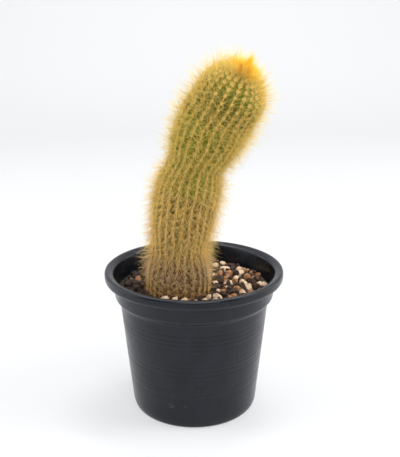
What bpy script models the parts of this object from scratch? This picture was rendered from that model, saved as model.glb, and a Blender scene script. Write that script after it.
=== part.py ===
"""A potted haageocereus: a leaning, ribbed column cactus with golden needles in a black nursery pot.

Metres, +Z up. The origin is on the pot's axis, on the surface that the pot stands on.
The front of the plant is -Y, and its tip leans towards +X. The sizes below are in millimetres.
"""

import math
import random

import bmesh
import bpy
import numpy as np
from mathutils import Matrix, Vector

MM = 0.001
GAP = 0.3

# Pot
POT_SIDES = 40
POT_WALL = 1.2
FOOT_RADIUS = 38.7
FOOT_RING_INNER_RADIUS = 33.2
FOOT_RING_RADIUS = 37.0
FOOT_CORNER_HEIGHT = 4.2
FOOT_CORNER_SWELL = 0.4
INNER_CORNER = 1.8
BASE_UNDERSIDE = 1.5
BASE_TOP = 3.0
WALL_TOP_RADIUS = 46.0
WALL_TOP = 71.2
COLLAR_RADIUS = 48.9
COLLAR_BOTTOM = 73.2
COLLAR_TOP_RADIUS = 49.6
COLLAR_TOP = 82.6
LIP_OUTSIDE = (
    (49.2, 87.2),
    (49.8, 88.0),
    (51.6, 89.2),
    (53.4, 90.0),
    (54.5, 89.6),
    (55.0, 88.6),
    (55.0, 85.4),
    (54.2, 84.0),
)
LIP_UNDERSIDE = ((53.7, 84.5), (53.7, 87.8), (53.0, 88.4), (51.2, 87.4), (50.5, 86.0))
DRAIN_HOLE_RADIUS = 3.5
DRAIN_RING_RADIUS = 25.0
DRAIN_RING_COUNT = 6
DRAIN_HOLE_SIDES = 10

# Potting mix and top dressing
MIX_TOP = 75.3
BED_BOTTOM = 75.6
BED_TOP = 77.2
STONE_COUNT = 105
STONE_TRIES = 6000
STONE_RADII = (2.2, 3.5)
STONE_SQUASH = (0.65, 0.95)
STONE_ROUGHNESS = 0.16
STONE_TILT = 0.6
STONE_SUNK_GAP = 0.5
STONE_CLEARANCE = 0.5
STONE_SPACING = 0.8

# Stem: x, y, z of the centre and radius over the rib crests, at even steps from below the mix to the dome
STEM_STATIONS = (
    (-9.5, -8.0, 73.4, 18.8),
    (-9.6, -8.0, 89.3, 18.2),
    (-9.0, -7.9, 105.2, 15.8),
    (-6.9, -7.6, 121.0, 17.4),
    (-4.0, -7.4, 136.6, 18.4),
    (-0.3, -7.4, 152.0, 17.2),
    (5.1, -7.8, 167.0, 18.2),
    (12.0, -8.8, 181.4, 19.5),
    (20.6, -10.4, 194.8, 19.0),
)
ROOT_STATIONS = ((-9.5, -8.0, 54.0, 3.0), (-9.5, -8.0, 60.0, 9.0), (-9.5, -8.0, 67.0, 15.0))
ROOT_CLEARANCE = 0.5
WAIST_STEP = 5.3
WAIST_WIDTH = 0.4
WAIST_DEPTH = 2.0
DOME_LENGTH = 18.4
DOME_ANGLE = 77
DOME_STEPS = 5
DOME_SHIFT = (-2.4, -1.6)
TRUNK_STEPS = 18
RIB_COUNT = 24
RIB_DEPTH = 1.7
RIB_FULL_RADIUS = 14.0
RIB_FADE_START = 0.3
RIB_FADE_STEPS = 0.7
SLOPE_STEP = 0.02

# Needles of the stem, with their splay in degrees
NEEDLE_ROOT_RADIUS = 0.34
NEEDLE_SUNK = 1.1
NEEDLE_LENGTHS = (6.0, 10.5)
NEEDLE_FIRST_STEP = 0.82
NEEDLE_ROWS = 19
NEEDLE_DOME_SHARE = 0.86
NEEDLE_SPLAY = 26
NEEDLE_LEAST_LIFT = -0.6
NEEDLE_SIDE_SHARE = 0.7

# Crown tuft, with its needles' spread in degrees
CROWN_RADIUS = 4.2
CROWN_HEIGHT = 2.6
CROWN_SIDES = 16
CROWN_RINGS = ((1.0, 0.0), (0.95, 0.4), (0.62, 0.85))
CROWN_ROOT_HEIGHT = 0.55
CROWN_ROOT_RADIUS = 0.75
CROWN_NEEDLES = 64
CROWN_LENGTHS = (5.5, 8.5)
CROWN_SPREAD = 58
CROWN_SPIKE_LENGTH = 10.5
CROWN_SPIKES = 3
GOLDEN_TURN = math.pi * (3.0 - math.sqrt(5.0))


def remove_scene_objects():
    for thing in list(bpy.data.objects):
        bpy.data.objects.remove(thing)


def material(name, colour, roughness):
    made = bpy.data.materials.new(name)
    made.use_nodes = True
    shader = made.node_tree.nodes["Principled BSDF"]
    shader.inputs["Base Color"].default_value = (*colour, 1.0)
    shader.inputs["Roughness"].default_value = roughness
    shader.inputs["Metallic"].default_value = 0.0
    made.diffuse_color = (*colour, 1.0)
    return made


def object_from(name, mesh):
    thing = bpy.data.objects.new(name, mesh)
    bpy.context.scene.collection.objects.link(thing)
    return thing


def mesh_from(name, vertices, faces):
    """A mesh with its faces pointing out, from points in millimetres."""
    mesh = bpy.data.meshes.new(name)
    mesh.from_pydata([tuple(MM * value for value in point) for point in vertices], [], faces)
    shell = bmesh.new()
    shell.from_mesh(mesh)
    bmesh.ops.recalc_face_normals(shell, faces=shell.faces)
    shell.to_mesh(mesh)
    shell.free()
    return mesh


def turned(name, outline, sides, centre=(0.0, 0.0)):
    """A solid turned about a vertical axis. The outline runs from the axis round to the axis again."""
    inner = outline[1:-1]
    vertices = [(centre[0], centre[1], outline[0][1]), (centre[0], centre[1], outline[-1][1])]
    for radius, height in inner:
        for side in range(sides):
            angle = math.tau * side / sides
            x = centre[0] + radius * math.cos(angle)
            y = centre[1] + radius * math.sin(angle)
            vertices.append((x, y, height))
    faces = []
    last = 2 + (len(inner) - 1) * sides
    for side in range(sides):
        after = (side + 1) % sides
        faces.append((0, 2 + side, 2 + after))
        faces.append((1, last + after, last + side))
        for ring in range(len(inner) - 1):
            low = 2 + ring * sides
            faces.append((low + side, low + sides + side, low + sides + after, low + after))
    return object_from(name, mesh_from(name, vertices, faces))


def combined(body, pieces, operation):
    """Joins the pieces to the body, or cuts them from it, and removes them."""
    collection = bpy.data.collections.new(body.name + "_pieces")
    bpy.context.scene.collection.children.link(collection)
    for piece in pieces:
        bpy.context.scene.collection.objects.unlink(piece)
        collection.objects.link(piece)
    modifier = body.modifiers.new("Pieces", "BOOLEAN")
    modifier.operand_type = "COLLECTION"
    modifier.collection = collection
    modifier.operation = operation
    graph = bpy.context.evaluated_depsgraph_get()
    body.data = bpy.data.meshes.new_from_object(body.evaluated_get(graph))
    body.modifiers.clear()
    for piece in pieces:
        bpy.data.objects.remove(piece)
    bpy.data.collections.remove(collection)


def finish(thing, surface, sharp_angle):
    """Gives the object its one material and smooth shading with sharp edges past the angle."""
    thing.data.materials.clear()
    thing.data.materials.append(surface)
    thing.data.shade_smooth()
    thing.data.set_sharp_from_angle(angle=math.radians(sharp_angle))


def pot_inner_outline():
    """The inside of the pot, from the floor's centre up to the top of the collar."""
    return [
        (0.0, BASE_TOP),
        (FOOT_RADIUS - POT_WALL - INNER_CORNER, BASE_TOP),
        (FOOT_RADIUS - POT_WALL, BASE_TOP + INNER_CORNER),
        (WALL_TOP_RADIUS - POT_WALL, WALL_TOP),
        (COLLAR_RADIUS - POT_WALL, COLLAR_BOTTOM),
        (COLLAR_TOP_RADIUS - POT_WALL, COLLAR_TOP),
    ]


def pot_outline():
    wall = [
        (COLLAR_TOP_RADIUS, COLLAR_TOP),
        (COLLAR_RADIUS, COLLAR_BOTTOM),
        (WALL_TOP_RADIUS, WALL_TOP),
        (FOOT_RADIUS + FOOT_CORNER_SWELL, FOOT_CORNER_HEIGHT),
        (FOOT_RADIUS - FOOT_CORNER_SWELL, FOOT_CORNER_HEIGHT / 3.0),
        (FOOT_RING_RADIUS, 0.0),
        (FOOT_RING_INNER_RADIUS, 0.0),
        (FOOT_RING_INNER_RADIUS, BASE_UNDERSIDE),
        (0.0, BASE_UNDERSIDE),
    ]
    return pot_inner_outline() + list(LIP_OUTSIDE) + list(LIP_UNDERSIDE) + wall


def drain_hole(x, y):
    outline = [
        (0.0, BASE_TOP + 1.0),
        (DRAIN_HOLE_RADIUS, BASE_TOP + 1.0),
        (DRAIN_HOLE_RADIUS, BASE_UNDERSIDE - 1.0),
        (0.0, BASE_UNDERSIDE - 1.0),
    ]
    return turned("drain_hole", outline, DRAIN_HOLE_SIDES, (x, y))


def make_pot():
    pot = turned("pot", pot_outline(), POT_SIDES)
    holes = [drain_hole(0.0, 0.0)]
    for hole in range(DRAIN_RING_COUNT):
        angle = math.tau * hole / DRAIN_RING_COUNT
        holes.append(drain_hole(DRAIN_RING_RADIUS * math.cos(angle), DRAIN_RING_RADIUS * math.sin(angle)))
    combined(pot, holes, "DIFFERENCE")
    finish(pot, material("black_plastic", (0.03, 0.032, 0.037), 0.42), 35)


def inner_radius(height):
    """The radius of the pot's inside at a height above its floor's corner."""
    outline = pot_inner_outline()
    heights = [point[1] for point in outline[2:]]
    radii = [point[0] for point in outline[2:]]
    return float(np.interp(height, heights, radii))


def root_hole():
    """The plain hole for the stem's foot, cut from the mix and from the bed of the top dressing."""
    x, y = STEM_STATIONS[0][:2]
    foot_radius = max(STEM_STATIONS[0][3], STEM_STATIONS[1][3]) + ROOT_CLEARANCE
    outline = [(0.0, ROOT_STATIONS[0][2] - ROOT_CLEARANCE)]
    for station in ROOT_STATIONS:
        outline.append((station[3] + ROOT_CLEARANCE, station[2] - ROOT_CLEARANCE))
    outline.append((foot_radius, STEM_STATIONS[0][2] - ROOT_CLEARANCE))
    outline.append((foot_radius, BED_TOP + 1.0))
    outline.append((0.0, BED_TOP + 1.0))
    return turned("root_hole", outline, POT_SIDES, (x, y))


def make_potting_mix():
    outline = [(0.0, BASE_TOP + GAP)]
    for radius, height in pot_inner_outline()[1:5]:
        outline.append((radius - GAP, height + GAP))
    outline.append((inner_radius(MIX_TOP) - GAP, MIX_TOP))
    outline.append((0.0, MIX_TOP))
    mix = turned("potting_mix", outline, POT_SIDES)
    combined(mix, [root_hole()], "DIFFERENCE")
    finish(mix, material("dark_potting_mix", (0.045, 0.032, 0.024), 0.95), 35)


def stone(number, draw, place, radius):
    """An uneven, blocky stone, its lowest corner a little way into the bed."""
    shell = bmesh.new()
    bmesh.ops.create_cube(shell, size=MM * 2.0 * radius / math.sqrt(3.0))
    squash = draw.uniform(*STONE_SQUASH)
    for vertex in shell.verts:
        vertex.co *= 1.0 + draw.uniform(-STONE_ROUGHNESS, STONE_ROUGHNESS)
        vertex.co.z *= squash
    bmesh.ops.triangulate(shell, faces=shell.faces)
    turn = Matrix.Rotation(draw.uniform(0.0, math.tau), 3, "Z")
    turn @= Matrix.Rotation(draw.uniform(-STONE_TILT, STONE_TILT), 3, "X")
    turn @= Matrix.Rotation(draw.uniform(-STONE_TILT, STONE_TILT), 3, "Y")
    bmesh.ops.rotate(shell, verts=shell.verts, matrix=turn)
    mesh = bpy.data.meshes.new("stone")
    shell.to_mesh(mesh)
    shell.free()
    lowest = min(vertex.co.z for vertex in mesh.vertices)
    thing = object_from(f"stone_{number}", mesh)
    thing.location = (MM * place.x, MM * place.y, MM * (BED_BOTTOM + STONE_SUNK_GAP) - lowest)
    return thing


def stone_places(draw):
    """Places and radii of the stones: spread at random, clear of the stem, the pot and each other."""
    stem = Vector(STEM_STATIONS[0][:2])
    stem_radius = STEM_STATIONS[0][3]
    found = []
    for _ in range(STONE_TRIES):
        radius = draw.uniform(*STONE_RADII)
        reach = radius * (1.0 + STONE_ROUGHNESS) + STONE_CLEARANCE
        distance = inner_radius(BED_TOP) * math.sqrt(draw.random())
        angle = draw.uniform(0.0, math.tau)
        place = Vector((distance * math.cos(angle), distance * math.sin(angle)))
        if distance + reach > inner_radius(BED_TOP) or (place - stem).length < stem_radius + reach:
            continue
        if any((place - other).length < STONE_SPACING * (radius + size) for other, size in found):
            continue
        found.append((place, radius))
        if len(found) == STONE_COUNT:
            break
    return found


def make_grit():
    edge = inner_radius(BED_BOTTOM) - GAP
    outline = [(0.0, BED_BOTTOM), (edge, BED_BOTTOM), (edge, BED_TOP), (0.0, BED_TOP)]
    grit = turned("grit", outline, POT_SIDES)
    combined(grit, [root_hole()], "DIFFERENCE")
    draw = random.Random(11)
    stones = []
    for number, (place, radius) in enumerate(stone_places(draw)):
        stones.append(stone(number, draw, place, radius))
    combined(grit, stones, "UNION")
    finish(grit, material("pumice", (0.62, 0.47, 0.33), 0.9), 20)


def station_at(step):
    """The smooth curve through the stations: x, y, z and radius at a step, which may be a fraction."""
    index = min(max(int(step), 0), len(STEM_STATIONS) - 2)
    share = step - index
    near = [STEM_STATIONS[min(max(index + offset, 0), len(STEM_STATIONS) - 1)] for offset in (-1, 0, 1, 2)]
    before, start, end, after = (np.array(station) for station in near)
    linear = 0.5 * (end - before)
    square = before - 2.5 * start + 2.0 * end - 0.5 * after
    cube = 0.5 * (after - before) + 1.5 * (start - end)
    found = start + share * (linear + share * (square + share * cube))
    return [float(value) for value in found]


def axes_at(step):
    """The stem's direction at a step, and the two directions across it."""
    last = len(STEM_STATIONS) - 1
    here = Vector(station_at(min(step, last))[:3])
    below = Vector(station_at(min(step, last) - SLOPE_STEP)[:3])
    along = (here - below).normalized()
    side = (Vector((1.0, 0.0, 0.0)) - along.x * along).normalized()
    return along, side, along.cross(side)


def section_at(step):
    """Centre, crest radius and axes of the stem. Past the last station the dome closes towards the crown."""
    last = len(STEM_STATIONS) - 1
    along, side, back = axes_at(step)
    x, y, z, radius = station_at(min(step, last))
    radius -= WAIST_DEPTH * math.exp(-(((step - WAIST_STEP) / WAIST_WIDTH) ** 2))
    centre = Vector((x, y, z))
    if step > last:
        angle = math.radians(DOME_ANGLE * (step - last))
        centre += DOME_LENGTH * math.sin(angle) * along
        centre += (1.0 - math.cos(angle)) * (DOME_SHIFT[0] * side + DOME_SHIFT[1] * back)
        radius *= math.cos(angle)
    return centre, radius, along, side, back


def rib_depth_at(step, radius):
    """The ribs fade out at the foot, and get shallower as the dome narrows."""
    fade = min(max((step - RIB_FADE_START) / RIB_FADE_STEPS, 0.0), 1.0)
    return RIB_DEPTH * fade * min(radius / RIB_FULL_RADIUS, 1.0)


def stem_point(step, angle, depth_share):
    """A point of the stem at an angle about its axis; depth_share is 0 on a crest and 1 in a furrow."""
    centre, radius, _, side, back = section_at(step)
    reach = radius - depth_share * rib_depth_at(step, radius)
    return centre + reach * (math.cos(angle) * side + math.sin(angle) * back)


def outward_at(step, angle):
    """The direction straight out of the stem's surface, and the directions along and around it."""
    upward = stem_point(step + SLOPE_STEP, angle, 0.0) - stem_point(step - SLOPE_STEP, angle, 0.0)
    around = stem_point(step, angle + SLOPE_STEP, 0.0) - stem_point(step, angle - SLOPE_STEP, 0.0)
    return around.cross(upward).normalized(), upward.normalized(), around.normalized()


def stem_steps():
    last = len(STEM_STATIONS) - 1
    trunk = [last * step / TRUNK_STEPS for step in range(TRUNK_STEPS + 1)]
    dome = [last + step / DOME_STEPS for step in range(1, DOME_STEPS + 1)]
    return trunk + dome


def stem_body():
    """The ribbed column on its rooted foot: three points to a rib, one on the crest and two in the furrow."""
    around = 3 * RIB_COUNT
    vertices = []
    for x, y, z, radius in ROOT_STATIONS:
        for number in range(around):
            angle = math.tau * number / around
            vertices.append((x + radius * math.cos(angle), y + radius * math.sin(angle), z))
    for step in stem_steps():
        for number in range(around):
            depth_share = 0.0 if number % 3 == 0 else 1.0
            vertices.append(stem_point(step, math.tau * number / around, depth_share))
    rings = len(vertices) // around
    faces = [tuple(range(around)), tuple((rings - 1) * around + number for number in range(around))]
    for ring in range(rings - 1):
        for number in range(around):
            after = (number + 1) % around
            low = ring * around
            high = low + around
            faces.append((low + number, low + after, high + after, high + number))
    return object_from("stem", mesh_from("stem", vertices, faces))


def needle_mesh(root_radius):
    """A three-sided needle one metre long along +Z, to be scaled to its length."""
    shell = bmesh.new()
    bmesh.ops.create_cone(shell, cap_ends=True, segments=3, radius1=MM * root_radius, radius2=0.0, depth=1.0)
    bmesh.ops.translate(shell, verts=shell.verts, vec=(0.0, 0.0, 0.5))
    mesh = bpy.data.meshes.new("needle")
    shell.to_mesh(mesh)
    shell.free()
    return mesh


def needle(name, mesh, root, direction, length):
    """One needle that starts NEEDLE_SUNK below its root point and stands length above it."""
    thing = object_from(name, mesh)
    start = root - NEEDLE_SUNK * direction
    turn = direction.to_track_quat("Z", "Y").to_matrix().to_4x4()
    stretch = Matrix.Diagonal((1.0, 1.0, MM * (length + NEEDLE_SUNK), 1.0))
    thing.matrix_world = Matrix.Translation(MM * start) @ turn @ stretch
    return thing


def stem_needles(draw):
    """Needles at even rows on every rib, the rows of neighbouring ribs half a row apart."""
    mesh = needle_mesh(NEEDLE_ROOT_RADIUS)
    top = len(STEM_STATIONS) - 1 + NEEDLE_DOME_SHARE
    row_step = (top - NEEDLE_FIRST_STEP) / NEEDLE_ROWS
    needles = []
    for row in range(NEEDLE_ROWS):
        for rib in range(RIB_COUNT):
            step = NEEDLE_FIRST_STEP + row_step * (row + 0.5 * (rib % 2))
            angle = math.tau * rib / RIB_COUNT
            outward, upward, around = outward_at(step, angle)
            least_lift = 0.0 if row == 0 else NEEDLE_LEAST_LIFT
            lift = math.radians(NEEDLE_SPLAY * draw.uniform(least_lift, 1.0))
            swing = math.radians(NEEDLE_SPLAY * draw.uniform(-NEEDLE_SIDE_SHARE, NEEDLE_SIDE_SHARE))
            direction = (outward + math.tan(lift) * upward + math.tan(swing) * around).normalized()
            root = stem_point(step, angle, 0.0)
            length = draw.uniform(*NEEDLE_LENGTHS)
            needles.append(needle(f"needle_{row}_{rib}", mesh, root, direction, length))
    return needles


def make_stem():
    stem = stem_body()
    combined(stem, stem_needles(random.Random(5)), "UNION")
    finish(stem, material("golden_spined_skin", (0.33, 0.24, 0.07), 0.75), 30)


def crown_frame():
    """The crown's place just above the end of the dome, with its axes."""
    centre, _, along, side, back = section_at(len(STEM_STATIONS))
    return centre + GAP * along, along, side, back


def crown_core(place, along, side, back):
    """A low dome, the woolly core that the young needles stand out of."""
    vertices = []
    for radius_share, height_share in CROWN_RINGS:
        for number in range(CROWN_SIDES):
            angle = math.tau * number / CROWN_SIDES
            across = radius_share * CROWN_RADIUS * (math.cos(angle) * side + math.sin(angle) * back)
            vertices.append(place + across + height_share * CROWN_HEIGHT * along)
    vertices.append(place + CROWN_HEIGHT * along)
    peak = len(vertices) - 1
    faces = [tuple(range(CROWN_SIDES))]
    for number in range(CROWN_SIDES):
        after = (number + 1) % CROWN_SIDES
        for low in (0, CROWN_SIDES):
            high = low + CROWN_SIDES
            faces.append((low + number, low + after, high + after, high + number))
        high = 2 * CROWN_SIDES
        faces.append((high + number, high + after, peak))
    return object_from("crown_tuft", mesh_from("crown_tuft", vertices, faces))


def make_crown_tuft():
    place, along, side, back = crown_frame()
    crown = crown_core(place, along, side, back)
    draw = random.Random(3)
    mesh = needle_mesh(NEEDLE_ROOT_RADIUS)
    needles = []
    for number in range(CROWN_NEEDLES):
        share = (number + 0.5) / CROWN_NEEDLES
        tilt = math.radians(CROWN_SPREAD * math.sqrt(share))
        turn = GOLDEN_TURN * number
        across = math.cos(turn) * side + math.sin(turn) * back
        direction = (math.cos(tilt) * along + math.sin(tilt) * across).normalized()
        root = place + CROWN_ROOT_HEIGHT * CROWN_HEIGHT * along
        root += CROWN_ROOT_RADIUS * CROWN_RADIUS * math.sqrt(share) * across
        length = CROWN_SPIKE_LENGTH if number < CROWN_SPIKES else draw.uniform(*CROWN_LENGTHS)
        needles.append(needle(f"crown_needle_{number}", mesh, root, direction, length))
    combined(crown, needles, "UNION")
    finish(crown, material("orange_golden_needles", (0.80, 0.40, 0.05), 0.7), 30)


def main():
    remove_scene_objects()
    make_pot()
    make_potting_mix()
    make_grit()
    make_stem()
    make_crown_tuft()


main()
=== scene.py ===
"""Looks of a potted haageocereus: a leaning, golden-spined column cactus in a black nursery pot.

The file is laid out as an add-on: property groups for what a user would change, an operator for each
piece or group of like pieces, and a panel. Lengths are in metres, and in millimetres where a name ends in
_MM. Angles given as plain numbers are in degrees.
"""

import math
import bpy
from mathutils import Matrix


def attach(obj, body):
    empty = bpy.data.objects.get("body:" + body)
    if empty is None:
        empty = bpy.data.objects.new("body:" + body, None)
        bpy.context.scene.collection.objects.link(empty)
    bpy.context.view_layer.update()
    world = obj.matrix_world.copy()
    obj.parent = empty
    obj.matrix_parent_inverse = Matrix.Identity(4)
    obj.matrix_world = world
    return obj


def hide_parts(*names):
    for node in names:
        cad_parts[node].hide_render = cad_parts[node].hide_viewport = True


bl_info = {
    "name": "Potted Haageocereus",
    "version": (1, 0, 0),
    "blender": (4, 5, 0),
    "location": "3D View > Sidebar > Cactus",
    "description": "Builds a potted column cactus with golden spines, its gravel and its black pot",
    "category": "Add Mesh",
}

from copy import copy

import bmesh
import bpy
import numpy as np
from bpy.props import FloatProperty, FloatVectorProperty, IntProperty, PointerProperty
from mathutils import Matrix, Vector

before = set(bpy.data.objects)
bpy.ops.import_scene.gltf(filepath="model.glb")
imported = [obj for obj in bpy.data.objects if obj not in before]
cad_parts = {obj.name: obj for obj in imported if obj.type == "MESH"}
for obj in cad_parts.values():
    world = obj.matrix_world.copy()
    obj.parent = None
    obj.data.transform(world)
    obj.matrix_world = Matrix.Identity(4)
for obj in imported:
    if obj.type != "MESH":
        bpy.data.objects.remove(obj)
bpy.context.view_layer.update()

MM = 0.001
BODY = "root"

# Pot outline, within 1 mm of the solid's
WALL_MM = 1.2
FOOT_RADIUS_MM = 38.7
FOOT_RING_MM = (33.2, 37.0)
FOOT_CORNER_MM = 4.2
FOOT_SWELL_MM = 0.4
INNER_CORNER_MM = 1.8
BASE_MM = (1.5, 3.0)
WALL_TOP_MM = (46.0, 71.2)
COLLAR_BOTTOM_MM = (48.9, 73.2)
COLLAR_TOP_MM = (49.6, 82.6)
LIP_OUTSIDE_MM = (
    (49.5, 87.8), (50.1, 88.7), (51.8, 89.5), (53.4, 90.0),
    (54.5, 89.6), (55.0, 88.6), (55.0, 85.4), (54.2, 84.0),
)
LIP_UNDERSIDE_MM = ((53.7, 84.5), (53.7, 87.8), (53.0, 88.4), (51.2, 87.4), (50.5, 86.0))
DRAIN_RADIUS_MM = 3.5
DRAIN_RING_MM = 25.0
DRAIN_RING_COUNT = 6
GROOVES_MM = (63.9, 60.6, 58.0, 54.7, 43.2, 40.2, 37.1, 27.0, 21.5)
GROOVE_WIDTH_MM = 0.4
SCUFF_MM = (-12.9, -37.2, 15.6)
SCUFF_REACH_MM = 2.8

# Stem: x, y, z of the centre and radius over the rib crests, at even steps up the stem
STATIONS_MM = np.array(
    (
        (-9.5, -8.0, 73.4, 18.8),
        (-9.6, -8.0, 89.3, 18.2),
        (-9.0, -7.9, 105.2, 15.8),
        (-6.9, -7.6, 121.0, 17.4),
        (-4.0, -7.4, 136.6, 18.4),
        (-0.3, -7.4, 152.0, 17.2),
        (5.1, -7.8, 167.0, 18.2),
        (12.0, -8.8, 181.4, 19.5),
        (20.6, -10.4, 194.8, 19.0),
    )
)
ROOT_MM = ((-9.5, -8.0, 54.0, 3.0), (-9.5, -8.0, 60.0, 9.0), (-9.5, -8.0, 67.0, 15.0))
LAST_STATION = len(STATIONS_MM) - 1
WAIST_STEP = 5.3
WAIST_WIDTH = 0.4
WAIST_DEPTH_MM = 2.0
DOME_LENGTH_MM = 18.4
DOME_ANGLE = 77
DOME_SHIFT_MM = (-2.4, -1.6)
RIB_FULL_RADIUS_MM = 14.0
RIB_FADE = (0.3, 0.7)

# Mix: its top has a low bank round the stem and a mound before it
MIX_TOP_MM = 76.6
MIX_RADIUS_MM = 47.5
BANK_HEIGHT_MM = 0.8
BANK_RADIUS = 0.02
BANK_WIDTH = 0.006
MOUND_HEIGHT_MM = 3.9
MOUND_PLACE = (-0.002, -0.034)
MOUND_WIDTH = 0.021
MOUND_DEPTH = 0.0078
CRUMB_REACH = 0.0462
CRUMB_CLEARANCE = 0.95

# Stones: as shares of the radius, how high a stone sits on the mix, how near two come to each other, and
# how far one rides up on another. Between the two X values of SIDES_MM the shares of pale and tan ones grow,
# so the left side is darker: partly the mix's own look there, partly painted shade for the stem's shadow.
STONE_SITS = 0.45
STONE_NEARNESS = 0.96
STONE_CLIMBS = 0.62
STONE_CEILING_MM = 84.0
STONE_REACH_MM = 46.0
STONE_TRIES = 14
STONE_SQUASH = ((1.0, 1.35), (0.8, 1.05), (0.6, 0.85))
SIDES_MM = (-28.0, 0.0)
PALE_SHARE = (0.02, 0.52)
TAN_SHARE = (0.04, 0.15)

# Areoles and crown; TUFT_SPOT is a step past the last station and an angle round the stem
AREOLE_STOPS = (0.0, 0.3, 0.72, 0.87, 0.93, 1.0)
AREOLE_RADII_MM = (0.3, 0.45, 0.55, 0.9, 1.2, 0.9)
CROWN_WOOL_MM = (5.2, 5.2, 2.4)
TUFT_RADIUS_MM = 5.0
TUFT_SPOT = (1.0, 265.0)
TUFT_TILT = 76.0
SPIKE_EVERY = 14
MANTLE_REACH = 0.3

# Colours that no setting changes
DUST = (0.22, 0.20, 0.17)
SCUFF = (0.35, 0.34, 0.32)
DRY_FLECKS = (0.16, 0.11, 0.07)
# Painted shade in the pores of the stones
STONE_PORE_SHADE = (0.05, 0.035, 0.025)
LOW_SPINES = (0.74, 0.47, 0.27)
FOOT_SPINES = (0.62, 0.34, 0.15)
DARK_SPINES = (0.45, 0.22, 0.05)
WOOL_FLECKS = (0.42, 0.27, 0.14)
FLOOR_CLOUDS = (0.34, 0.34, 0.34)
COOL_SHEEN = (0.9, 0.91, 1.0, 1.0)
ROOM_LIGHT = (0.95, 0.98, 1.0, 1.0)

# Painted light of the floor sheet, which glows though it is no lamp: its colour at the front, then where
# along Y it turns to each next colour.
# It is brightest at the front, darker round the pot and brighter again up the backdrop.
FLOOR_PAINTED_LIGHT_FRONT = (0.935, 0.945, 0.96)
FLOOR_PAINTED_LIGHT_STEPS = (
    (-0.065, -0.03, (0.78, 0.785, 0.80)),
    (0.1, 0.5, (0.83, 0.84, 0.85)),
    (0.9, 1.25, (0.955, 0.965, 0.98)),
)


def lengths(*values):
    """Millimetres to metres."""
    return [MM * value for value in values]


# Shader building


class Shader:
    """A material and the means to wire its nodes."""

    def __init__(self, name, roughness, specular=0.5):
        self.material = bpy.data.materials.new(name)
        self.material.use_nodes = True
        self.tree = self.material.node_tree
        self.surface = self.tree.nodes["Principled BSDF"]
        self.surface.inputs["Roughness"].default_value = roughness
        self.surface.inputs["Specular IOR Level"].default_value = specular
        self.place = self.tree.nodes.new("ShaderNodeTexCoord").outputs["Object"]

    def node(self, kind, **values):
        made = self.tree.nodes.new(kind)
        for key, value in values.items():
            setattr(made, key, value)
        return made

    def wire(self, value, socket):
        """Links a socket, or sets a plain value or a colour of three parts."""
        if isinstance(value, bpy.types.NodeSocket):
            self.tree.links.new(value, socket)
        elif socket.type == "RGBA":
            socket.default_value = (*value, 1.0)
        else:
            socket.default_value = value

    def noise(self, size_mm, detail=3.0, stretch=(1.0, 1.0, 1.0), rough=0.5):
        """Noise with blobs of about the given size, stretched along the axes."""
        mapping = self.node("ShaderNodeMapping")
        mapping.inputs["Scale"].default_value = [1.0 / factor for factor in stretch]
        self.wire(self.place, mapping.inputs["Vector"])
        noise = self.node("ShaderNodeTexNoise")
        noise.inputs["Scale"].default_value = 1.0 / (MM * size_mm)
        noise.inputs["Detail"].default_value = detail
        noise.inputs["Roughness"].default_value = rough
        self.wire(mapping.outputs["Vector"], noise.inputs["Vector"])
        return noise.outputs["Fac"]

    def cells(self, size_mm):
        """Distance to the nearest of many scattered spots."""
        cells = self.node("ShaderNodeTexVoronoi")
        cells.inputs["Scale"].default_value = 1.0 / (MM * size_mm)
        self.wire(self.place, cells.inputs["Vector"])
        return cells.outputs["Distance"]

    def scratches(self, middle_mm, reach_mm):
        """Short scratches, only round one spot."""
        apart = self.node("ShaderNodeVectorMath", operation="DISTANCE")
        self.wire(self.place, apart.inputs[0])
        apart.inputs[1].default_value = lengths(*middle_mm)
        near = self.between(apart.outputs["Value"], MM * 0.5 * reach_mm, MM * reach_mm, 1.0, 0.0)
        marks = self.between(self.noise(0.9, detail=2.0, stretch=(4.0, 4.0, 0.35)), 0.55, 0.7, 0.0, 0.45)
        return self.product(near, marks)

    def attribute(self, name):
        return self.node("ShaderNodeAttribute", attribute_name=name).outputs["Fac"]

    def between(self, value, low, high, start=0.0, end=1.0):
        """Maps low..high to start..end smoothly, held at both ends."""
        change = self.node("ShaderNodeMapRange", interpolation_type="SMOOTHSTEP")
        self.wire(value, change.inputs["Value"])
        change.inputs["From Min"].default_value = low
        change.inputs["From Max"].default_value = high
        change.inputs["To Min"].default_value = start
        change.inputs["To Max"].default_value = end
        return change.outputs["Result"]

    def reckoned(self, operation, first, second):
        made = self.node("ShaderNodeMath", operation=operation)
        self.wire(first, made.inputs[0])
        self.wire(second, made.inputs[1])
        return made.outputs[0]

    def sum(self, first, second):
        return self.reckoned("ADD", first, second)

    def product(self, first, second):
        return self.reckoned("MULTIPLY", first, second)

    def mix(self, share, first, second):
        made = self.node("ShaderNodeMix", data_type="RGBA")
        self.wire(share, made.inputs["Factor"])
        self.wire(first, made.inputs[6])
        self.wire(second, made.inputs[7])
        return made.outputs[2]

    def colour(self, value):
        self.wire(value, self.surface.inputs["Base Color"])

    def roughness(self, value):
        self.wire(value, self.surface.inputs["Roughness"])

    def bump(self, height, distance_mm, strength, below=None):
        made = self.node("ShaderNodeBump")
        made.inputs["Strength"].default_value = strength
        made.inputs["Distance"].default_value = MM * distance_mm
        self.wire(height, made.inputs["Height"])
        if below is not None:
            self.wire(below, made.inputs["Normal"])
        self.wire(made.outputs["Normal"], self.surface.inputs["Normal"])
        return made.outputs["Normal"]


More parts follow.
